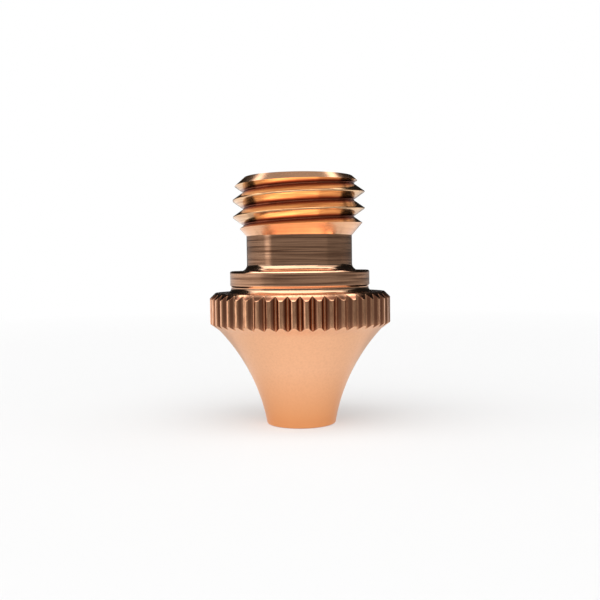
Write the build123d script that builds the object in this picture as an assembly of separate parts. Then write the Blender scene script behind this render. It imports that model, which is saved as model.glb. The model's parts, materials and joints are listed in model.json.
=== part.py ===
from build123d import *
import math
import os

# A torch nozzle turned from one copper bar: it stands on its tip, with its axis on Z.
# Lengths are in millimetres and angles in degrees.

# Metric fine thread, right handed
THREAD_D = 10.0
THREAD_PITCH = 1.25
THREAD_FLANK_ANGLE = 60.0
THREAD_HEIGHT = 3.28
THREAD_TOP_BEVEL_HEIGHT = 0.8
THREAD_TOP_BEVEL_WIDTH = 0.9
THREAD_RUNOUT_HEIGHT = 1.15
# How far a crest stands above the run-out, on the +X side
THREAD_CREST_LIFT = 0.89

# Relief neck, cut a little deeper than the thread's root
NECK_HEIGHT = 2.62
NECK_CLEARANCE = 0.233
NECK_FOOT_R = 0.42

# Pilot flange, a little larger than the thread that passes its counterbore first
PILOT_CLEARANCE = 0.3
PILOT_HEIGHT = 1.63
PILOT_EDGE_BEVEL = 0.16
PILOT_FOOT_BEVEL = 0.2

# Knurled grip ring, whose top face is the seat
RING_D = 13.7
RING_HEIGHT = 2.3
RING_UPPER_BEVEL = 0.42
RING_LOWER_BEVEL_WIDTH = 0.665
RING_LOWER_BEVEL_HEIGHT = 0.49
KNURL_COUNT = 48
KNURL_DEPTH = 0.37
KNURL_ANGLE = 70.0

# Flare and tip
FLARE_LENGTH = 7.23
FLARE_ARC_R = 14.2
TIP_D = 5.24
TIP_EDGE_BEVEL = 0.12

# Gas passage
ENTRY_D = 6.0
ENTRY_DEPTH = 9.7
ENTRY_BEVEL = 0.25
ORIFICE_D = 1.5
ORIFICE_LENGTH = 2.5

# Metric thread form: the sharp vee loses an eighth of its height at the crest and a sixth at the root
flank_slope = math.tan(math.radians(THREAD_FLANK_ANGLE / 2))
vee_height = THREAD_PITCH / 2 / flank_slope
thread_depth = vee_height * (1 - 1 / 8 - 1 / 6)
root_half_width = THREAD_PITCH / 12

# Radii
crest_r = THREAD_D / 2
root_r = crest_r - thread_depth
neck_r = root_r - NECK_CLEARANCE
top_r = crest_r - THREAD_TOP_BEVEL_WIDTH
pilot_r = crest_r + PILOT_CLEARANCE
ring_r = RING_D / 2
flare_top_r = ring_r - RING_LOWER_BEVEL_WIDTH
tip_r = TIP_D / 2
entry_r = ENTRY_D / 2
orifice_r = ORIFICE_D / 2

# Levels along the axis, from the tip upwards
ring_bottom_z = FLARE_LENGTH + RING_LOWER_BEVEL_HEIGHT
ring_top_z = ring_bottom_z + RING_HEIGHT
pilot_top_z = ring_top_z + PILOT_HEIGHT
neck_top_z = pilot_top_z + NECK_HEIGHT
runout_top_z = neck_top_z + THREAD_RUNOUT_HEIGHT
top_z = runout_top_z + THREAD_HEIGHT
entry_floor_z = top_z - ENTRY_DEPTH

# Edges and inside corners, each limited to a third of the wall that it is cut in
ring_upper_bevel = min(RING_UPPER_BEVEL, (ring_r - pilot_r) / 3)
pilot_foot_bevel = min(PILOT_FOOT_BEVEL, (ring_r - pilot_r) / 3)
pilot_edge_bevel = min(PILOT_EDGE_BEVEL, (pilot_r - neck_r) / 3)
neck_foot_r = min(NECK_FOOT_R, (pilot_r - neck_r) / 3)
entry_bevel = min(ENTRY_BEVEL, (top_r - entry_r) / 3)
tip_edge_bevel = min(TIP_EDGE_BEVEL, (tip_r - orifice_r) / 3)


def corner(section, radius, height):
    """The section's vertex nearest to a radius and a height."""
    return section.vertices().sort_by_distance((radius, height))[0]


def turned_section():
    """Half of the lengthwise section: X is the radius and Y is the height."""
    flare = RadiusArc((tip_r, 0), (flare_top_r, FLARE_LENGTH), FLARE_ARC_R)
    outside = Polyline(
        (flare_top_r, FLARE_LENGTH),
        (ring_r, ring_bottom_z),
        (ring_r, ring_top_z - ring_upper_bevel),
        (ring_r - ring_upper_bevel, ring_top_z),
        (pilot_r, ring_top_z),
        (pilot_r, pilot_top_z),
        (neck_r, pilot_top_z),
        (neck_r, neck_top_z),
        (crest_r, runout_top_z),
        (crest_r, top_z - THREAD_TOP_BEVEL_HEIGHT),
        (top_r, top_z),
    )
    passage = Polyline(
        (top_r, top_z),
        (entry_r + entry_bevel, top_z),
        (entry_r, top_z - entry_bevel),
        (entry_r, entry_floor_z),
        (orifice_r, ORIFICE_LENGTH),
        (orifice_r, 0),
        (tip_r, 0),
    )
    section = make_face(flare + outside + passage)
    section = chamfer(corner(section, tip_r, 0), tip_edge_bevel)
    section = chamfer(corner(section, pilot_r, pilot_top_z), pilot_edge_bevel)
    section = chamfer(corner(section, pilot_r, ring_top_z), pilot_foot_bevel)
    return fillet(corner(section, neck_r, pilot_top_z), neck_foot_r)


def knurl_groove():
    """One straight V cut along the ring, which it leaves at the outside."""
    vee_root_r = ring_r - KNURL_DEPTH
    vee_mouth_r = ring_r + KNURL_DEPTH
    half_mouth = (vee_mouth_r - vee_root_r) * math.tan(math.radians(KNURL_ANGLE / 2))
    vee = make_face(Polyline((vee_root_r, 0), (vee_mouth_r, -half_mouth), (vee_mouth_r, half_mouth), close=True))
    return Pos(0, 0, FLARE_LENGTH) * extrude(vee, ring_top_z + KNURL_DEPTH - FLARE_LENGTH)


def thread_grooves():
    """The thread's helical groove, one turn after another, from the free neck to above the top face."""
    # The cut reaches a little past the crest, where its next turn is still clear of it
    cut_depth = thread_depth + vee_height / 16
    cut_half_width = root_half_width + cut_depth * flank_slope
    vee = make_face(Polyline(
        (root_r, -root_half_width),
        (root_r + cut_depth, -cut_half_width),
        (root_r + cut_depth, cut_half_width),
        (root_r, root_half_width),
        close=True,
    ))
    turn = sweep(Plane.XZ * vee, Helix(THREAD_PITCH, THREAD_PITCH, crest_r), is_frenet=True)
    groove_z = runout_top_z + THREAD_CREST_LIFT - THREAD_PITCH / 2
    turns_below = math.ceil((groove_z + cut_half_width - neck_top_z) / THREAD_PITCH)
    turns_above = math.ceil((top_z + cut_half_width - groove_z) / THREAD_PITCH)
    return [Pos(0, 0, groove_z + step * THREAD_PITCH) * turn for step in range(-turns_below, turns_above)]


def nozzle():
    body = revolve(Plane.XZ * turned_section(), Axis.Z)
    body -= PolarLocations(0, KNURL_COUNT) * knurl_groove()
    for turn in thread_grooves():
        body -= turn
    return body


os.makedirs("parts", exist_ok=True)
export_step(nozzle(), "parts/nozzle.step")
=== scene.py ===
# %% [markdown]
# # A copper torch nozzle
# The nozzle is one piece, turned from a copper bar: a screw thread on top, a relief neck, a pilot flange, a knurled
# grip ring, and a flare that narrows to the tip. It is 18.7 mm high and 13.7 mm across.
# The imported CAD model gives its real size, so that is loaded first. It is never moved or changed, and what this
# lesson makes stays inside its box.

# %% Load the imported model
import json
import math

import bmesh
import bpy
from mathutils import Matrix, Vector

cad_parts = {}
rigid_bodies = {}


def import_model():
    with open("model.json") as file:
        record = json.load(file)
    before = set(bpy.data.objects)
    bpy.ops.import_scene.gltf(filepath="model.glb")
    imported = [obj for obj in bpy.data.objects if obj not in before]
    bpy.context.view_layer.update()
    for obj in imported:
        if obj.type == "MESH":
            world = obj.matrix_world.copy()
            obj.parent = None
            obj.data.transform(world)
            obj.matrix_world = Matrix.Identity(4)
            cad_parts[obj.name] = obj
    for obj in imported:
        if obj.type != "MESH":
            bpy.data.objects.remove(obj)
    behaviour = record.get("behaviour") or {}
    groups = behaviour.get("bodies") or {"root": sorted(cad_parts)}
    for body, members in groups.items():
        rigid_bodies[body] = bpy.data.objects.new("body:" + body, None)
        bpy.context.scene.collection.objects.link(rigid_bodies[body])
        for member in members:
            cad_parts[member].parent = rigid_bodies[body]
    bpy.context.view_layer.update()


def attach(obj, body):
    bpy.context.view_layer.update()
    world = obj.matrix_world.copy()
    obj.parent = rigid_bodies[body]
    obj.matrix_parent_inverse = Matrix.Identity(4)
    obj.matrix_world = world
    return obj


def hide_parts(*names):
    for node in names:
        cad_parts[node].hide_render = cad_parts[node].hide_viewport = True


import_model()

MM = 0.001

# %% [markdown]
# ## Three helpers
# Every finish and every rule-made shape below is a tree of nodes. A tree is easier to read when each node is one
# line, so one function adds a node, sets it and links it, and a second does that for a step of arithmetic. The third
# turns the colours that people pick, in sRGB, into the linear light that a shader counts in.

# %% Add a node, read a colour
def add(tree, kind, inputs=(), **settings):
    """Adds a node with its settings. An input is a value, or the socket that it is linked from."""
    made = tree.nodes.new(kind)
    for name, value in settings.items():
        setattr(made, name, value)
    for socket, value in dict(inputs).items():
        if isinstance(value, bpy.types.NodeSocket):
            tree.links.new(value, made.inputs[socket])
        else:
            made.inputs[socket].default_value = value
    return made


def maths(tree, operation, *values):
    """Adds one step of arithmetic on values or sockets, and gives its result."""
    return add(tree, "ShaderNodeMath", dict(enumerate(values)), operation=operation).outputs[0]


def linear(hex_colour):
    """The linear colour, with full alpha, of an sRGB hex value."""
    shares = [int(hex_colour[at:at + 2], 16) / 255 for at in (1, 3, 5)]
    return [share / 12.92 if share <= 0.04045 else ((share + 0.055) / 1.055) ** 2.4 for share in shares] + [1.0]


# %% [markdown]
# ## The finishes
# Copper is a metal, so its only colour is the tint that it gives to what it mirrors. What tells one zone from another
# is how it was cut: the flare is polished to a satin, the neck and flange show the lathe's feed, and the thread is
# freshly cut and bright. The inside corners carry a paler tint that is painted sheen, and the tip, the knurl's grooves
# and the thread's root carry darker tints that are painted shade. So there is one recipe for copper, and each finish
# gives it a gloss and the size of its streaks. A streak that is long across and short in height follows the lathe's
# turning.

# %% The recipe for copper
STREAK_DETAIL = 3.0
# Values of the noise between which the tone turns from dull to bright, and the gloss from low to high
TONE_STOPS = (0.3, 0.6)
GLOSS_FROM, GLOSS_TO = 0.3, 0.7


def copper(name, bright, dull, roughness, roughness_swing, streak_mm, relief_mm, painted_shade=None):
    """Copper whose tone, gloss and relief vary in streaks.

    A painted shade tints it near one distance along some axes: (axes, distance, full within, none beyond, colour).
    """
    finish = bpy.data.materials.new(name)
    finish.use_nodes = True
    tree = finish.node_tree
    surface = tree.nodes["Principled BSDF"]
    surface.inputs["Metallic"].default_value = 1.0
    place = add(tree, "ShaderNodeTexCoord").outputs["Object"]
    per_streak = [1 / (size * MM) for size in streak_mm]
    scaled = add(tree, "ShaderNodeMapping", {"Vector": place, "Scale": per_streak}).outputs["Vector"]
    streaks = add(tree, "ShaderNodeTexNoise", {"Vector": scaled, "Scale": 1.0, "Detail": STREAK_DETAIL}).outputs["Fac"]
    tone = add(tree, "ShaderNodeValToRGB", {"Fac": streaks})
    for stop, at, colour in zip(tone.color_ramp.elements, TONE_STOPS, (dull, bright)):
        stop.position = at
        stop.color = linear(colour)
    gloss = add(tree, "ShaderNodeMapRange", {
        "Value": streaks, "From Min": GLOSS_FROM, "From Max": GLOSS_TO,
        "To Min": roughness + roughness_swing, "To Max": roughness - roughness_swing})
    relief = add(tree, "ShaderNodeBump", {"Height": streaks, "Distance": relief_mm * MM, "Strength": 1.0})
    colour = tone.outputs["Color"]
    # Painted shade: a darker tint mixed in near one distance along the axes, where the surface lies in shade or
    # mirrors shade
    if painted_shade:
        axes, middle, within, beyond, tint = painted_shade
        along = add(tree, "ShaderNodeVectorMath", {0: place, 1: axes}, operation="MULTIPLY").outputs[0]
        along = add(tree, "ShaderNodeVectorMath", {0: along}, operation="LENGTH").outputs["Value"]
        off = maths(tree, "SUBTRACT", along, middle * MM)
        off = maths(tree, "ABSOLUTE", off)
        clean = add(tree, "ShaderNodeMapRange", {
            "Value": off, "From Min": within * MM, "From Max": beyond * MM}).outputs["Result"]
        colour = add(tree, "ShaderNodeMix", {0: clean, 6: linear(tint), 7: colour}, data_type="RGBA").outputs[2]
    tree.links.new(colour, surface.inputs["Base Color"])
    tree.links.new(gloss.outputs["Result"], surface.inputs["Roughness"])
    tree.links.new(relief.outputs["Normal"], surface.inputs["Normal"])
    return finish


# %% Seven finishes of the same copper
FROM_AXIS, FROM_TABLE = (1.0, 1.0, 0.0), (0.0, 0.0, 1.0)

# Satin copper: polished on the lathe with fine cloth, it blurs what it mirrors; its darker, more orange tint towards
# the tip is painted shade, for the table's shadow that the tip mirrors
satin = copper("copper_satin_polished", "#f9c096", "#f3ba92", 0.34, 0.03, (0.16, 0.16, 0.16), 0.0004,
               painted_shade=(FROM_TABLE, 0.0, 0.5, 4.5, "#eda670"))
# Turned copper: the tool leaves fine rings, which show as thin light and dark lines
turned = copper("copper_turned", "#ffc59e", "#8f6147", 0.13, 0.03, (6.0, 6.0, 0.12), 0.0008)
# Knurled copper: cut along the ring, so its streaks stand upright; the browner tint on the flanks of the teeth is
# painted shade in the grooves
knurled = copper("copper_knurled", "#f7b990", "#d89a76", 0.15, 0.03, (0.12, 0.12, 0.6), 0.0008,
                 painted_shade=(FROM_AXIS, 6.68, 0.06, 0.15, "#a06a50"))
# Thread-cut copper: the last pass of a sharp tool leaves it bright; the dark tint in the root is painted shade
threaded = copper("copper_thread_cut", "#f8ca9a", "#d49e74", 0.15, 0.04, (3.0, 3.0, 0.07), 0.0008,
                  painted_shade=(FROM_AXIS, 4.2, 0.11, 0.25, "#98573f"))
# Faced copper: a slow last feed leaves the run-out cone and the top bevel brighter than the neck
faced = copper("copper_faced", "#f7bf95", "#e9ad86", 0.2, 0.03, (5.0, 5.0, 0.2), 0.0005)
# Pale copper in the fillets and on the seat: its paler, duller tint is a painted sheen, the pale band of light on
# those corners
painted_sheen = copper("copper_painted_sheen", "#d2a788", "#c19778", 0.15, 0.03, (5.0, 5.0, 0.2), 0.0005)
# Bored copper: drilled and reamed where a tool is hard to guide, so it is duller, with rings
bored = copper("copper_bored", "#e9ab83", "#b97f5f", 0.36, 0.06, (4.0, 4.0, 0.09), 0.003)
finishes = [satin, turned, knurled, threaded, faced, painted_sheen, bored]
SATIN, TURNED, KNURLED, THREADED, FACED, PAINTED_SHEEN, BORED = range(len(finishes))
print("finishes:", [finish.name for finish in finishes])

# %% [markdown]
# ## The turned section
# A lathe gives a shape that is the same all round, so only half of its lengthwise section is drawn: a row of points,
# each with a radius and a height. The row starts under the thread and runs down the outside to the tip, then up
# through the gas passage to the top face. The sizes are the CAD model's own, apart from small edges: the neck's fillet
# is a little larger, and edges that are sharp or bevelled there are rounded here.

# %% Sizes of the section, in millimetres
NECK_R = 4.0
NECK_TOP = 14.27
NECK_FOOT_R = 0.48
PILOT_R = 5.3
PILOT_TOP = 11.65
PILOT_EDGE_R = 0.16
RING_R = 6.85
RING_TOP = 10.02
RING_BOTTOM = 7.72
RING_UPPER_BEVEL = 0.42
FLARE_TOP_R = 6.185
FLARE_TOP = 7.23
FLARE_ARC_R = 14.2
TIP_R = 2.62
TIP_EDGE_R = 0.12
ENTRY_R = 3.0
ENTRY_FLOOR = 9.0
ENTRY_BEVEL = 0.25
ORIFICE_R = 0.75
ORIFICE_TOP = 2.5
TOP = 18.7
TOP_R = 4.1

# %% [markdown]
# A sharp corner in a mesh has no width, so it never catches the light as metal does. Each corner of the section is
# therefore rounded by an arc, as the real edge is by the tool. A point held close to each end of the arc keeps the
# shading of the wall next to it flat. The walk along the corners also carries two notes for each point: which finish
# follows it, and how far it slides when the knurling tool cuts one unit deep there.

# %% Walk along the corners of a section
# Points closer than this, in millimetres, are one point
WELD_GAP = 0.001


def arc_at(before, corner, after, radius, steps):
    """The arc that rounds a corner between two straight runs, as points from the first run to the second."""
    corner = Vector(corner)
    to_before = (Vector(before) - corner).normalized()
    to_after = (Vector(after) - corner).normalized()
    half_angle = to_before.angle(to_after) / 2
    centre = corner + (to_before + to_after).normalized() * radius / math.sin(half_angle)
    start = corner + to_before * radius / math.tan(half_angle) - centre
    end = corner + to_after * radius / math.tan(half_angle) - centre
    turn = start.angle(end)
    shares = [step / steps for step in range(steps + 1)]
    return [centre + (start * math.sin((1 - share) * turn) + end * math.sin(share * turn)) / math.sin(turn)
            for share in shares]


def walk(corners, hold):
    """Rows of (point, slide, finish) along corners of (r, z, rounding, arc steps, run steps, finish, slide)."""
    rows, steps = [], 0
    for index, (r, z, rounding, arc_steps, run_steps, finish, slide) in enumerate(corners):
        inside = 0 < index < len(corners) - 1
        if rounding and inside:
            before, after = Vector(corners[index - 1][:2]), Vector(corners[index + 1][:2])
            arc = arc_at(before, (r, z), after, rounding, arc_steps)
            if hold:
                arc.insert(0, arc[0] + (before - arc[0]).normalized() * hold)
                arc.append(arc[-1] + (after - arc[-1]).normalized() * hold)
        else:
            arc = [Vector((r, z))]
        slide = Vector(slide)
        if rows:
            last_point, last_slide, last_finish = rows[-1]
            gap = arc[0] - last_point
            if gap.length > WELD_GAP:
                for step in range(1, steps):
                    share = step / steps
                    rows.append((last_point + gap * share, last_slide.lerp(slide, share), last_finish))
            else:
                rows.pop()
            if hold and len(arc) > 1:
                rows.append((arc.pop(0), slide, last_finish))
        rows.extend((point, slide, finish) for point in arc)
        steps = run_steps
    return rows


# %% [markdown]
# ### Neck and flange
# The neck is the relief that the thread tool runs out into, and the flange below it centres the nozzle in the torch.
# Both were turned with a fine feed, so their walls are not smooth: the tool leaves a ring at each turn. The rings are
# real relief here, a few thousandths of a millimetre deep, because that is what draws the fine lines on them.
# The flange ends in a narrow bevel over a small undercut, so that its edge stands off the seat.

# %% Neck and flange
NO_SLIDE = (0.0, 0.0)
# Roundings of edges: broken with a cloth, left fine, and left nearly sharp
BROKEN_R, FINE_R, SHARP_R = 0.05, 0.03, 0.02
# How far the painted sheen of the fillet reaches onto the seat
SHEEN_PAST = 0.1
PILOT_FOOT = 0.55
PILOT_FOOT_BEVEL = 0.13
UNDERCUT = 0.075
UNDERCUT_R = 0.36
FEED = 0.245
FEED_STEPS = 2
FEED_DEPTH = 0.003
# The shallowest ring's share of that depth, and how fast the depth changes from ring to ring
FEED_LEAST, FEED_BEAT = 0.4, 1.7

neck_feeds = round((NECK_TOP - PILOT_TOP - NECK_FOOT_R) / FEED)
pilot_feeds = round((PILOT_TOP - PILOT_EDGE_R - RING_TOP - PILOT_FOOT) / FEED)
# The neck's fillet, the seat next to it and the undercut's fillet take the paler tint that is a painted sheen
corners = [
    (NECK_R, NECK_TOP, 0, 0, neck_feeds * FEED_STEPS, TURNED, NO_SLIDE),
    (NECK_R, PILOT_TOP, NECK_FOOT_R, 10, 1, PAINTED_SHEEN, NO_SLIDE),
    (NECK_R + NECK_FOOT_R + SHEEN_PAST, PILOT_TOP, 0, 0, 2, TURNED, NO_SLIDE),
    (PILOT_R, PILOT_TOP, PILOT_EDGE_R, 5, pilot_feeds * FEED_STEPS, TURNED, NO_SLIDE),
    (PILOT_R, RING_TOP + PILOT_FOOT, SHARP_R, 2, 1, TURNED, NO_SLIDE),
    (PILOT_R - UNDERCUT, RING_TOP + PILOT_FOOT - PILOT_FOOT_BEVEL, 0, 0, 1, TURNED, NO_SLIDE),
    (PILOT_R - UNDERCUT, RING_TOP, UNDERCUT_R, 8, 2, PAINTED_SHEEN, NO_SLIDE),
]
print("feed rings:", neck_feeds, "on the neck and", pilot_feeds, "on the flange")

# %% [markdown]
# ### Grip ring and flare
# The ring is what fingers turn, so it is knurled with 48 straight V grooves. A groove cuts the ring's two bevels as
# well as its wall, and each cut end is a point that slides along its bevel as the groove gets deeper. Below the ring
# the flare is one hollow arc down to the tip.

# %% Grip ring and flare
LOWER_BEVEL_SLIDE = (-1.0, -(RING_BOTTOM - FLARE_TOP) / (RING_R - FLARE_TOP_R))
UPPER_BEVEL_SLIDE = (-1.0, 1.0)
FLARE_STEPS = 22

corners += [
    (RING_R - RING_UPPER_BEVEL, RING_TOP, BROKEN_R, 3, 3, KNURLED, NO_SLIDE),
    (RING_R, RING_TOP - RING_UPPER_BEVEL, BROKEN_R, 3, 3, KNURLED, UPPER_BEVEL_SLIDE),
    (RING_R, RING_BOTTOM, FINE_R, 2, 3, SATIN, LOWER_BEVEL_SLIDE),
]
flare_top, flare_foot = Vector((FLARE_TOP_R, FLARE_TOP)), Vector((TIP_R, 0.0))
chord = flare_foot - flare_top
to_centre = Vector((-chord.y, chord.x)).normalized() * math.sqrt(FLARE_ARC_R ** 2 - (chord.length / 2) ** 2)
arc_centre = (flare_top + flare_foot) / 2 + to_centre
first, last = flare_top - arc_centre, flare_foot - arc_centre
for step in range(FLARE_STEPS):
    turn = step / FLARE_STEPS * first.angle_signed(last)
    point = arc_centre + Matrix.Rotation(-turn, 2) @ first
    corners.append((point.x, point.y, 0, 0, 1, SATIN, NO_SLIDE))
print("flare arc centre, mm:", [round(value, 2) for value in arc_centre])

# %% [markdown]
# ### Tip and gas passage
# The photo hides the passage, but the part has one: a wide bore for the electrode, a cone that gathers the gas, and
# a short straight orifice. It is drawn as the CAD model has it, so that a view from above looks down a real hole.

# %% Tip and gas passage
# How far from an arc's end its holding point stands, and how close two sizes are the same
HOLD = 0.02
SAME = 1e-5

corners += [
    (TIP_R, 0.0, TIP_EDGE_R, 4, 2, SATIN, NO_SLIDE),
    (ORIFICE_R, 0.0, BROKEN_R, 2, 1, BORED, NO_SLIDE),
    (ORIFICE_R, ORIFICE_TOP, 0, 0, 1, BORED, NO_SLIDE),
    (ENTRY_R, ENTRY_FLOOR, 0, 0, 1, BORED, NO_SLIDE),
    (ENTRY_R, TOP - ENTRY_BEVEL, 0, 0, 1, TURNED, NO_SLIDE),
    (ENTRY_R + ENTRY_BEVEL, TOP, FINE_R, 2, 2, TURNED, NO_SLIDE),
    (TOP_R, TOP, 0, 0, 1, TURNED, NO_SLIDE),
]
section = walk(corners, hold=HOLD)
for start_z, feeds, wall_r in ((NECK_TOP, neck_feeds, NECK_R), (PILOT_TOP - PILOT_EDGE_R, pilot_feeds, PILOT_R)):
    wall = [point for point, slide, finish in section
            if abs(point.x - wall_r) < SAME and point.y <= start_z + SAME]
    for index, point in enumerate(wall[:feeds * FEED_STEPS + 1]):
        ring, phase = divmod(index, FEED_STEPS)
        uneven = FEED_LEAST + (1 - FEED_LEAST) * abs(math.sin(FEED_BEAT * ring))
        point.x -= FEED_DEPTH * uneven * math.sin(math.pi * phase / FEED_STEPS)
print("rows of the section:", len(section))

# %% [markdown]
# ## The lathe, in Geometry Nodes
# Blender can turn a section with its Screw modifier, but that can't cut the knurl. A node tree can do both: it lays
# out a grid of rows and columns, reads the section's point for each row, slides it by the depth of the groove at that
# column's angle, and turns it round the axis. The seven columns of a tooth are moved to where its shape turns: the
# middle and both sides of the groove's narrow floor, the groove's two edges, and the ends of the land between grooves.

# %% Begin a tree and lay out its grid
def section_tree(name, sizes, result):
    """A tree that takes a section and named sizes, with the sockets of what it is given."""
    tree = bpy.data.node_groups.new(name, "GeometryNodeTree")
    tree.interface.new_socket("Section", in_out="INPUT", socket_type="NodeSocketGeometry")
    for size, kind in sizes:
        tree.interface.new_socket(size, in_out="INPUT", socket_type=kind)
    tree.interface.new_socket(result, in_out="OUTPUT", socket_type="NodeSocketGeometry")
    return tree, add(tree, "NodeGroupInput").outputs


def laid_out(tree, section, last_column):
    """A grid with a row for each point of the section, with the column and the row of each point of the grid."""
    row_count = add(tree, "GeometryNodeAttributeDomainSize", {"Geometry": section}).outputs["Point Count"]
    last_row = maths(tree, "SUBTRACT", row_count, 1.0)
    column_count = maths(tree, "ADD", last_column, 1.0)
    grid = add(tree, "GeometryNodeMeshGrid", {
        "Size X": last_column, "Size Y": last_row, "Vertices X": column_count, "Vertices Y": row_count})
    place = add(tree, "ShaderNodeSeparateXYZ", {0: add(tree, "GeometryNodeInputPosition").outputs[0]}).outputs
    column = maths(tree, "MULTIPLY_ADD", last_column, 0.5, place["X"])
    row = maths(tree, "MULTIPLY_ADD", last_row, 0.5, place["Y"])
    return grid.outputs["Mesh"], column, row


# %% Read a row of the section, and finish a tree
def read_row(tree, section, value, row, kind="FLOAT_VECTOR"):
    """The value that the section's point in a row has."""
    return add(tree, "GeometryNodeSampleIndex", {
        "Geometry": section, "Value": value, "Index": row}, data_type=kind).outputs[0]


def finished(tree, geometry, result):
    """Merges what lies on one point, and sets each face's material by the number in its finish attribute."""
    merged = add(tree, "GeometryNodeMergeByDistance", {"Geometry": geometry, "Distance": WELD_GAP * MM}).outputs[0]
    geometry = add(tree, "GeometryNodeRealizeInstances", {"Geometry": merged}).outputs[0]
    for number, material in enumerate(finishes):
        of_face = add(tree, "GeometryNodeInputNamedAttribute", {"Name": "finish"}, data_type="INT").outputs[0]
        chosen = add(tree, "FunctionNodeCompare", {2: of_face, 3: number}, data_type="INT", operation="EQUAL")
        geometry = add(tree, "GeometryNodeSetMaterial", {
            "Geometry": geometry, "Selection": chosen.outputs[0], "Material": material}).outputs[0]
    add(tree, "NodeGroupOutput", {result: geometry})
    print(tree.name, "nodes:", len(tree.nodes))


# %% The lathe's tree, with its rows and columns
lathe, given = section_tree("lathe_and_knurl", (
    ("Columns", "NodeSocketInt"), ("Teeth", "NodeSocketInt"), ("Groove Depth", "NodeSocketFloat"),
    ("Edge Depth", "NodeSocketFloat")), "Body")
grid, column, row = laid_out(lathe, given["Section"], given["Columns"])
nearest_row = add(lathe, "FunctionNodeFloatToInt", {0: row}, rounding_mode="ROUND").outputs[0]
row_above = add(lathe, "FunctionNodeFloatToInt", {0: row}, rounding_mode="FLOOR").outputs[0]
angle = maths(lathe, "DIVIDE", column, given["Columns"])
angle = maths(lathe, "MULTIPLY", angle, math.tau)

# %% Depth of the groove at a column's angle
TOOTH_COLUMNS = 7
# The groove ends between the second column off its middle and the third
GROOVE_COLUMNS = 2.5
# Where a tooth's shape turns, as shares of the way from the groove's middle to the land's middle
FLOOR_SHARE = 0.07
EDGE_SHARE = 0.67
LAND_SHARE = 0.81

tooth = maths(lathe, "DIVIDE", math.tau, given["Teeth"])
half_tooth = maths(lathe, "MULTIPLY", tooth, 0.5)
minus_half = maths(lathe, "MULTIPLY", tooth, -0.5)
off_root = maths(lathe, "WRAP", angle, half_tooth, minus_half)
side = maths(lathe, "SIGN", off_root)
share = maths(lathe, "DIVIDE", off_root, half_tooth)
share = maths(lathe, "ABSOLUTE", share)
turns = add(lathe, "ShaderNodeFloatCurve", {"Value": share})
turn_points = turns.mapping.curves[0].points
for columns_off, turn_share in ((1, FLOOR_SHARE), (2, EDGE_SHARE), (3, LAND_SHARE)):
    turn_points.new(2 * columns_off / TOOTH_COLUMNS, turn_share)
for turn_point in turn_points:
    turn_point.handle_type = "VECTOR"
turns.mapping.update()
moved = maths(lathe, "MULTIPLY", turns.outputs[0], half_tooth)
moved = maths(lathe, "MULTIPLY", moved, side)
moved = maths(lathe, "SUBTRACT", moved, off_root)
flank = add(lathe, "ShaderNodeMapRange", {
    "Value": turns.outputs[0], "From Min": FLOOR_SHARE, "From Max": EDGE_SHARE,
    "To Min": given["Groove Depth"], "To Max": given["Edge Depth"]}).outputs[0]
in_groove = maths(lathe, "LESS_THAN", share, 2 * GROOVE_COLUMNS / TOOTH_COLUMNS)
depth = maths(lathe, "MULTIPLY", flank, in_groove)

# %% Place each point and give each face its finish
# A slide is over one unit long on the ring's wall and fades along its bevels. Columns move where it is over this
SLIDES_FROM = 0.5

slide = add(lathe, "GeometryNodeInputNamedAttribute", {"Name": "slide"}, data_type="FLOAT_VECTOR").outputs[0]
finish = add(lathe, "GeometryNodeInputNamedAttribute", {"Name": "finish"}, data_type="INT").outputs[0]
section_place = add(lathe, "GeometryNodeInputPosition").outputs[0]
point = read_row(lathe, given["Section"], section_place, nearest_row)
slid = read_row(lathe, given["Section"], slide, nearest_row)
face_finish = read_row(lathe, given["Section"], finish, row_above, "INT")
noted = add(lathe, "GeometryNodeStoreNamedAttribute", {
    "Geometry": grid, "Name": "finish", "Value": face_finish}, data_type="INT", domain="FACE").outputs[0]
cut = add(lathe, "ShaderNodeVectorMath", {0: slid, 1: depth, 2: point}, operation="MULTIPLY_ADD").outputs[0]
on_ring = add(lathe, "ShaderNodeVectorMath", {0: slid}, operation="LENGTH").outputs["Value"]
on_ring = maths(lathe, "GREATER_THAN", on_ring, SLIDES_FROM)
angle = maths(lathe, "MULTIPLY_ADD", moved, on_ring, angle)
around = add(lathe, "ShaderNodeVectorRotate", {"Vector": cut, "Angle": angle}, rotation_type="Z_AXIS").outputs[0]
body = add(lathe, "GeometryNodeSetPosition", {"Geometry": noted, "Position": around}).outputs[0]
finished(lathe, body, "Body")

# %% [markdown]
# ## The thread, in Geometry Nodes
# A thread is one section too, a single tooth of it, carried round the axis while it climbs by one pitch a turn. The
# tree winds six turns of that tooth, then keeps of it only what the turned blank leaves: the cone of the run-out
# below and the bevel on top. The first point of the tooth that lies outside the blank slides back along the tooth
# until it is on both, so the edge between them is clean. Points past the ends fall on the end circles, where merging
# takes them away, so the winding closes on the neck and on the top face. The tooth's lands are narrower than the CAD
# model's and its flanks lean a little more, as the crests look in the photo, and its depth is nearly the same.

# %% The tooth's section
THREAD_R = 5.0
PITCH = 1.25
FLANK_ANGLE = math.radians(70.0)
CREST_LAND = PITCH / 18
ROOT_LAND = PITCH / 18
RUNOUT_TOP = 15.42
TOP_BEVEL_START = 17.9
GROOVE_Z = 11.935
TURNS = 6
FLANK_STEPS = 11
# A point is on a flank where more than this share of its way leads in or out
FLANK_SHARE = 0.8

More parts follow.
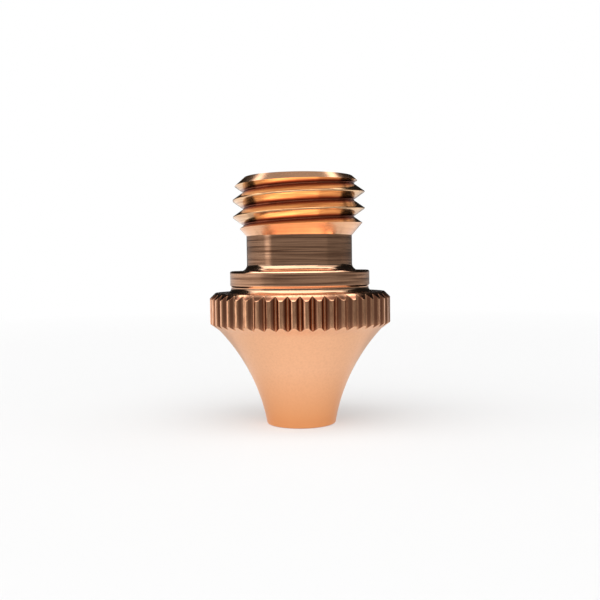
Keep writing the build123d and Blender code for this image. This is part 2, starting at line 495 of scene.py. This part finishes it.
flank_run = (PITCH - CREST_LAND - ROOT_LAND) / 2
thread_root_r = THREAD_R - flank_run / math.tan(FLANK_ANGLE / 2)
tooth_corners = [
    (thread_root_r, 0.0, 0, 0, 1, THREADED, NO_SLIDE),
    (thread_root_r, ROOT_LAND / 2, FINE_R, 2, FLANK_STEPS, THREADED, NO_SLIDE),
    (THREAD_R, ROOT_LAND / 2 + flank_run, FINE_R, 2, 1, THREADED, NO_SLIDE),
    (THREAD_R, PITCH - ROOT_LAND / 2 - flank_run, FINE_R, 2, FLANK_STEPS, THREADED, NO_SLIDE),
    (thread_root_r, PITCH - ROOT_LAND / 2, FINE_R, 2, 1, THREADED, NO_SLIDE),
    (thread_root_r, PITCH, 0, 0, 1, THREADED, NO_SLIDE),
]
tooth_section = walk(tooth_corners, hold=0.0)
# On the flanks, each point's slide is the way along the tooth, one row long
ways = [(after[0] - before[0]) / 2 for before, after in zip(tooth_section, tooth_section[2:])]
ways = [way if abs(way.x) > FLANK_SHARE * way.length else Vector(NO_SLIDE) for way in ways]
tooth_section[1:-1] = [(point, way, finish) for (point, slide, finish), way in zip(tooth_section[1:-1], ways)]
print("rows of the thread's tooth:", len(tooth_section), "root radius, mm:", round(thread_root_r, 3))

# %% The thread's tree, which winds the tooth round the axis
winder, given = section_tree("thread_winder", (
    ("Columns", "NodeSocketInt"), ("Turns", "NodeSocketInt"), ("Pitch", "NodeSocketFloat"),
    ("Groove Height", "NodeSocketFloat"), ("Thread Radius", "NodeSocketFloat"), ("Neck Top", "NodeSocketFloat"),
    ("Neck Radius", "NodeSocketFloat"), ("Run-out Slope", "NodeSocketFloat"), ("Top", "NodeSocketFloat"),
    ("Top Radius", "NodeSocketFloat"), ("Bevel Slope", "NodeSocketFloat")), "Thread")
last_column = maths(winder, "MULTIPLY", given["Columns"], given["Turns"])
grid, column, row = laid_out(winder, given["Section"], last_column)
nearest_row = add(winder, "FunctionNodeFloatToInt", {0: row}, rounding_mode="ROUND").outputs[0]
turns_wound = maths(winder, "DIVIDE", column, given["Columns"])
angle = maths(winder, "MULTIPLY", turns_wound, math.tau)
section_place = add(winder, "GeometryNodeInputPosition").outputs[0]
point = read_row(winder, given["Section"], section_place, nearest_row)
tooth_place = add(winder, "ShaderNodeSeparateXYZ", {0: point}).outputs
climb = maths(winder, "MULTIPLY_ADD", turns_wound, given["Pitch"], given["Groove Height"])
wound = maths(winder, "ADD", climb, tooth_place["Z"])
height = add(winder, "ShaderNodeClamp", {"Value": wound, "Min": given["Neck Top"], "Max": given["Top"]}).outputs[0]

# %% The blank's radius at that height, and how far the tooth stands out of it
above_neck = maths(winder, "SUBTRACT", height, given["Neck Top"])
below_top = maths(winder, "SUBTRACT", given["Top"], height)
run_out = maths(winder, "MULTIPLY_ADD", above_neck, given["Run-out Slope"], given["Neck Radius"])
bevel = maths(winder, "MULTIPLY_ADD", below_top, given["Bevel Slope"], given["Top Radius"])
blank = maths(winder, "MINIMUM", run_out, bevel)
blank = maths(winder, "MINIMUM", blank, given["Thread Radius"])
over = maths(winder, "SUBTRACT", tooth_place["X"], blank)
is_over = maths(winder, "GREATER_THAN", over, 0.0)

# %% Slide the first point outside back to the blank's surface
way = add(winder, "GeometryNodeInputNamedAttribute", {"Name": "slide"}, data_type="FLOAT_VECTOR").outputs[0]
way = read_row(winder, given["Section"], way, nearest_row)
way = add(winder, "ShaderNodeVectorMath", {0: way, "Scale": MM}, operation="SCALE").outputs[0]
way = add(winder, "ShaderNodeSeparateXYZ", {0: way}).outputs
on_run_out = maths(winder, "LESS_THAN", run_out, bevel)
down_slope = maths(winder, "MULTIPLY", given["Bevel Slope"], -1.0)
slope = add(winder, "ShaderNodeMix", {0: on_run_out, 2: down_slope, 3: given["Run-out Slope"]}).outputs[0]
blank_way = maths(winder, "MULTIPLY", slope, way["Z"])
closing = maths(winder, "SUBTRACT", blank_way, way["X"])
rows_back = maths(winder, "DIVIDE", over, closing)
distance = maths(winder, "ABSOLUTE", rows_back)
is_first = maths(winder, "LESS_THAN", distance, 1.0)
is_between = maths(winder, "COMPARE", wound, height, WELD_GAP * MM)
is_slid = maths(winder, "MULTIPLY", is_first, is_over)
is_slid = maths(winder, "MULTIPLY", is_slid, is_between)
rows_back = maths(winder, "MULTIPLY", rows_back, is_slid)
tooth_r = maths(winder, "MULTIPLY_ADD", rows_back, way["X"], tooth_place["X"])
blank = maths(winder, "MULTIPLY_ADD", rows_back, blank_way, blank)
height = maths(winder, "MULTIPLY_ADD", rows_back, way["Z"], height)

# %% Place the points, close the winding and give each face its finish
# A face is the blank's, and not the tooth's, where more than this share of its points lay outside the blank
FACED_FROM = 0.7

radius = maths(winder, "MINIMUM", blank, tooth_r)
kept = add(winder, "ShaderNodeCombineXYZ", {"X": radius, "Z": height}).outputs[0]
around = add(winder, "ShaderNodeVectorRotate", {"Vector": kept, "Angle": angle}, rotation_type="Z_AXIS").outputs[0]
thread = add(winder, "GeometryNodeStoreNamedAttribute", {
    "Geometry": grid, "Name": "faced", "Value": is_over}, data_type="FLOAT", domain="POINT").outputs[0]
thread = add(winder, "GeometryNodeSetPosition", {"Geometry": thread, "Position": around}).outputs[0]
faced_share = add(winder, "GeometryNodeInputNamedAttribute", {"Name": "faced"}, data_type="FLOAT").outputs[0]
is_faced = maths(winder, "GREATER_THAN", faced_share, FACED_FROM)
face_finish = maths(winder, "MULTIPLY_ADD", is_faced, FACED - THREADED, THREADED)
thread = add(winder, "GeometryNodeStoreNamedAttribute", {
    "Geometry": thread, "Name": "finish", "Value": face_finish}, data_type="INT", domain="FACE").outputs[0]
finished(winder, thread, "Thread")

# %% [markdown]
# ## Run both trees and weld the nozzle
# A tree needs an object to run on. Here it is a short-lived one that holds only the section's points and their notes.
# What comes out is turned into a plain mesh, since the export keeps meshes and not trees. The two meshes meet on the
# same circles of points, so welding them gives one closed skin, as the real nozzle is one piece of copper.

# %% Run a tree on a section
def mesh_from(tree, rows, sizes):
    """Runs a tree on a section's rows and returns the plain mesh that it makes."""
    points = bpy.data.meshes.new(tree.name + "_section")
    points.from_pydata([(point.x * MM, 0.0, point.y * MM) for point, slide, finish in rows], [], [])
    slides = points.attributes.new("slide", "FLOAT_VECTOR", "POINT")
    slides.data.foreach_set("vector", [value for point, slide, finish in rows for value in (slide.x, 0.0, slide.y)])
    points.attributes.new("finish", "INT", "POINT").data.foreach_set("value", [row[2] for row in rows])
    carrier = bpy.data.objects.new(tree.name, points)
    bpy.context.scene.collection.objects.link(carrier)
    modifier = carrier.modifiers.new(tree.name, "NODES")
    modifier.node_group = tree
    for item in tree.interface.items_tree:
        if item.name in sizes:
            modifier[item.identifier] = sizes[item.name]
    mesh = bpy.data.meshes.new_from_object(carrier.evaluated_get(bpy.context.evaluated_depsgraph_get()))
    bpy.data.objects.remove(carrier)
    return mesh


# %% Turn the body and wind the thread
TEETH = 48
COLUMNS = TEETH * TOOTH_COLUMNS
# With its narrow floor the groove is a little shallower than the CAD model's sharp V
GROOVE_DEPTH = 0.34
GROOVE_EDGE = 0.04

body_mesh = mesh_from(lathe, section, {
    "Columns": COLUMNS, "Teeth": TEETH, "Groove Depth": GROOVE_DEPTH * MM, "Edge Depth": GROOVE_EDGE * MM})
thread_mesh = mesh_from(winder, tooth_section, {
    "Columns": COLUMNS, "Turns": TURNS, "Pitch": PITCH * MM, "Groove Height": GROOVE_Z * MM,
    "Thread Radius": THREAD_R * MM, "Neck Top": NECK_TOP * MM, "Neck Radius": NECK_R * MM,
    "Run-out Slope": (THREAD_R - NECK_R) / (RUNOUT_TOP - NECK_TOP), "Top": TOP * MM, "Top Radius": TOP_R * MM,
    "Bevel Slope": (THREAD_R - TOP_R) / (TOP - TOP_BEVEL_START)})
print("faces of the body:", len(body_mesh.polygons), "and of the thread:", len(thread_mesh.polygons))

# %% Weld them into one piece
SHARP_FROM = math.radians(32.0)

skin = bmesh.new()
for mesh in (body_mesh, thread_mesh):
    known = len(skin.faces)
    skin.from_mesh(mesh)
    skin.faces.ensure_lookup_table()
    for face in skin.faces[known:]:
        face.material_index = finishes.index(mesh.materials[face.material_index])
bmesh.ops.remove_doubles(skin, verts=skin.verts, dist=WELD_GAP * MM)
bmesh.ops.recalc_face_normals(skin, faces=skin.faces)
open_edges = sum(not edge.is_manifold for edge in skin.edges)
nozzle_mesh = bpy.data.meshes.new("copper_nozzle")
skin.to_mesh(nozzle_mesh)
volume = skin.calc_volume()
skin.free()
for material in finishes:
    nozzle_mesh.materials.append(material)
nozzle_mesh.shade_smooth()
nozzle_mesh.set_sharp_from_angle(angle=SHARP_FROM)
nozzle = bpy.data.objects.new("copper_nozzle", nozzle_mesh)
bpy.context.scene.collection.objects.link(nozzle)
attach(nozzle, "root")
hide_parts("nozzle")
nozzle_mesh.calc_loop_triangles()
print("nozzle triangles:", len(nozzle_mesh.loop_triangles), "open edges:", open_edges,
      "volume, cubic mm:", round(volume / MM ** 3, 1))

# %% [markdown]
# ## The studio
# Copper shows what stands round it, so the light is most of the picture. The photo was taken on a white table under
# a large softbox that hangs over the front half, between dark flags that draw the dark neck and the black ends of
# the bright bands. The camera sees none of them, only white. So the table and the world are white to the camera and
# to what is mirrored, and the softbox and flags are curved cards that only light and reflections see.

# %% What the camera and mirrors see
def seen(tree):
    """1 for a ray of the camera, off a mirror or through glass, and 0 for light that falls on a surface."""
    ray = add(tree, "ShaderNodeLightPath").outputs
    looked_at = maths(tree, "MAXIMUM", ray["Is Camera Ray"], ray["Is Glossy Ray"])
    return maths(tree, "MAXIMUM", looked_at, ray["Is Transmission Ray"])


# %% White table
FLOOR_GLOW = 0.345
# The table's radius is in metres, and its other lengths are in millimetres
FLOOR_R = 0.5
FLOOR_DROP = 0.01
FLOOR_SIDES = 96
FADE_FROM, FADE_TO = 30.0, 150.0

floor_mesh = bpy.data.meshes.new("table")
rim = [math.tau * side / FLOOR_SIDES for side in range(FLOOR_SIDES)]
floor_mesh.from_pydata([(FLOOR_R * math.cos(turn), FLOOR_R * math.sin(turn), -FLOOR_DROP * MM) for turn in rim],
                       [], [range(FLOOR_SIDES)])
floor = bpy.data.objects.new("table", floor_mesh)
bpy.context.scene.collection.objects.link(floor)
# Matt white board: it glows for the camera and for mirrors, and its diffuse share takes the nozzle's soft shadow.
# Away from the nozzle it fades to the white of the surround, so no edge of the table shows
board = bpy.data.materials.new("matt_white_board")
board.use_nodes = True
tree = board.node_tree
is_seen = seen(tree)
glow = maths(tree, "MULTIPLY", is_seen, FLOOR_GLOW)
surface = tree.nodes["Principled BSDF"]
surface.inputs["Base Color"].default_value = linear("#b8b8b8")
surface.inputs["Roughness"].default_value = 1.0
surface.inputs["Specular IOR Level"].default_value = 0.0
surface.inputs["Emission Color"].default_value = linear("#ffffff")
tree.links.new(glow, surface.inputs["Emission Strength"])
far = add(tree, "ShaderNodeTexCoord").outputs["Object"]
far = add(tree, "ShaderNodeVectorMath", {0: far}, operation="LENGTH").outputs["Value"]
far = add(tree, "ShaderNodeMapRange", {"Value": far, "From Min": FADE_FROM * MM, "From Max": FADE_TO * MM}).outputs[0]
far = maths(tree, "MULTIPLY", far, is_seen)
white = add(tree, "ShaderNodeEmission", {"Color": linear("#ffffff"), "Strength": 1.0}).outputs[0]
faded = add(tree, "ShaderNodeMixShader", {0: far, 1: surface.outputs[0], 2: white}).outputs[0]
tree.links.new(faded, tree.nodes["Material Output"].inputs["Surface"])
floor_mesh.materials.append(board)
print("table radius, mm:", FLOOR_R / MM)

# %% White surround
SURROUND_LIGHT = 0.25

world = bpy.data.worlds.new("white_surround")
bpy.context.scene.world = world
world.use_nodes = True
tree = world.node_tree
strength = add(tree, "ShaderNodeMapRange", {"Value": seen(tree), "To Min": SURROUND_LIGHT, "To Max": 1.0}).outputs[0]
tree.nodes["Background"].inputs["Color"].default_value = linear("#ffffff")
tree.links.new(strength, tree.nodes["Background"].inputs["Strength"])

# %% [markdown]
# ### Softbox, flags and cards
# Each wall of the nozzle mirrors the part of the studio that it faces, so the cards come in bands. High up hang the
# softbox and the dim ceiling behind it. A band level with the neck is dark, with a pale strip on the left. The flange
# and the knurl, seen a little from above, mirror the bands below it. Angles are in degrees and distances in metres.

# %% A curved card of the studio
CARD_STEP = 4.0


def card(name, azimuths, elevations, distance, radiance, lights=False, centre_z=10.0):
    """A card on a sphere round a point of the axis. Azimuth 0 is the camera's side, and 90 is on the right."""
    centre = Vector((0.0, 0.0, centre_z * MM))
    across = max(2, round(abs(azimuths[1] - azimuths[0]) / CARD_STEP))
    up = max(2, round(abs(elevations[1] - elevations[0]) / CARD_STEP))
    points = []
    for i in range(across + 1):
        azimuth = math.radians(azimuths[0] + (azimuths[1] - azimuths[0]) * i / across)
        for j in range(up + 1):
            elevation = math.radians(elevations[0] + (elevations[1] - elevations[0]) * j / up)
            level = math.cos(elevation)
            away = Vector((math.sin(azimuth) * level, -math.cos(azimuth) * level, math.sin(elevation)))
            points.append(centre + away * distance)
    quads = [(i * (up + 1) + j, (i + 1) * (up + 1) + j, (i + 1) * (up + 1) + j + 1, i * (up + 1) + j + 1)
             for i in range(across) for j in range(up)]
    mesh = bpy.data.meshes.new(name)
    mesh.from_pydata(points, [], quads)
    surface = bpy.data.materials.new(name)
    surface.use_nodes = True
    tree = surface.node_tree
    tree.nodes.remove(tree.nodes["Principled BSDF"])
    glow = add(tree, "ShaderNodeEmission", {"Color": linear("#ffffff"), "Strength": radiance}).outputs[0]
    tree.links.new(glow, tree.nodes["Material Output"].inputs["Surface"])
    mesh.materials.append(surface)
    made = bpy.data.objects.new(name, mesh)
    bpy.context.scene.collection.objects.link(made)
    made.visible_camera = False
    made.visible_diffuse = lights
    made.visible_shadow = False
    return made


# %% Softbox and ceiling
SOFTBOX_AWAY = 1.2
FRONT_BAND = (24, 45)

overhead = [
    card("softbox_top", (-98, 96), (45, 90), SOFTBOX_AWAY, 2.6, lights=True),
    card("softbox_front_left", (-98, -8), FRONT_BAND, SOFTBOX_AWAY, 2.7, lights=True),
    card("softbox_front_middle", (-8, 42), FRONT_BAND, SOFTBOX_AWAY, 2.2, lights=True),
    card("softbox_front_right", (42, 96), FRONT_BAND, SOFTBOX_AWAY, 1.15, lights=True),
    card("softbox_shoulder_right", (96, 150), (49, 57), SOFTBOX_AWAY, 2.6, lights=True),
    card("softbox_shoulder_left", (210, 262), (44, 51), SOFTBOX_AWAY, 2.6, lights=True),
    card("ceiling_back", (96, 262), (57, 90), SOFTBOX_AWAY, 0.35),
    card("ceiling_back_left", (210, 262), (51, 57), SOFTBOX_AWAY, 0.35),
]
print("cards overhead:", len(overhead))

# %% Flags and cards round the neck
FLAG_AWAY, BACK_AWAY, BLACK_AWAY = 0.05, 0.08, 0.13
BLACK = 0.012
NECK_BAND, LEFT_BAND, BACK_BAND = (1.2, 24), (1.2, 14), (0.9, 6)

round_neck = [
    card("flag_front", (-61, 60), NECK_BAND, FLAG_AWAY, 0.2),
    card("flag_front_right", (60, 100), NECK_BAND, FLAG_AWAY, 0.15),
    card("card_left", (-75, -65), LEFT_BAND, FLAG_AWAY, 0.72),
    card("card_left_edge", (-79, -75), LEFT_BAND, FLAG_AWAY, 0.42),
    card("card_left_inner_edge", (-65, -61), LEFT_BAND, FLAG_AWAY, 0.42),
    card("card_left_back", (205, 282), (0.6, 6), 0.12, 0.27),
    card("flag_right_back", (100, 160), BACK_BAND, BACK_AWAY, 0.12),
    card("flag_black_back", (160, 205), BACK_BAND, BACK_AWAY, BLACK),
    card("flag_black_round", (96, 262), (6, 44), BLACK_AWAY, BLACK),
    card("flag_black_right", (96, 150), (44, 49), BLACK_AWAY, BLACK),
    card("flag_black_top", (150, 210), (44, 57), BLACK_AWAY, BLACK),
]
print("cards round the neck:", len(round_neck))

# %% Flags and cards round the flange and the knurl
FLANGE_BAND, KNURL_BAND = (-2.1, 1.2), (-25, -2.1)

round_ring = [
    card("flange_flag_front", (-40, 100), FLANGE_BAND, FLAG_AWAY, 0.26),
    card("flange_card_left_inner", (-56, -40), FLANGE_BAND, FLAG_AWAY, 0.32),
    card("flange_card_left_middle", (-74, -56), FLANGE_BAND, FLAG_AWAY, 0.41),
    card("flange_card_left", (-160, -74), FLANGE_BAND, FLAG_AWAY, 0.5),
    card("flange_flag_right", (100, 170), FLANGE_BAND, FLAG_AWAY, 0.25),
    card("knurl_flag_front", (-48, 60), KNURL_BAND, FLAG_AWAY, 0.27),
    card("knurl_card_left_inner", (-60, -48), KNURL_BAND, FLAG_AWAY, 0.5),
    card("knurl_card_left", (-125, -60), KNURL_BAND, FLAG_AWAY, 1.1),
    card("knurl_card_left_rim", (-175, -125), KNURL_BAND, FLAG_AWAY, 1.0),
    card("knurl_flag_right", (60, 112), KNURL_BAND, FLAG_AWAY, 0.2),
    card("knurl_card_right_rim", (112, 175), KNURL_BAND, FLAG_AWAY, 0.8),
]
print("cards round the ring:", len(round_ring))

# %% Cards close under the thread and behind the flare
close_by = [
    card("flag_under_thread", (-100, 100), (-62, -32), 0.018, 0.85, centre_z=16.5),
    card("flag_flare", (105, 255), (-14, 12), 0.012, 0.6, centre_z=4.0),
]
print("cards close by:", len(close_by))

# %% [markdown]
# ## The camera
# The photo looks almost level at the nozzle, from close by: the rims of the ring and of the tip are thin ellipses.
# The eye is 12.2 mm above the table and 61 mm from the axis, so a horizontal line through the neck stays straight.
# The nozzle leans three quarters of a degree in the photo, and the camera is rolled by that.

# %% Camera
EYE_DISTANCE = 61.07
EYE_HEIGHT = 12.19
LENS = 48.0
SENSOR = 36.0
PITCH_DOWN = math.radians(2.63)
ROLL = math.radians(-0.75)
CLIP_START = 1.0

lens = bpy.data.cameras.new("camera")
lens.lens = LENS
lens.sensor_width = SENSOR
lens.clip_start = CLIP_START * MM
camera = bpy.data.objects.new("camera", lens)
bpy.context.scene.collection.objects.link(camera)
camera.matrix_world = (Matrix.Translation((0.0, -EYE_DISTANCE * MM, EYE_HEIGHT * MM))
                       @ Matrix.Rotation(math.pi / 2 - PITCH_DOWN, 4, "X") @ Matrix.Rotation(ROLL, 4, "Z"))
bpy.context.scene.camera = camera
bpy.context.scene.view_settings.view_transform = "Standard"
print("camera sees, degrees across:", round(math.degrees(lens.angle), 1))
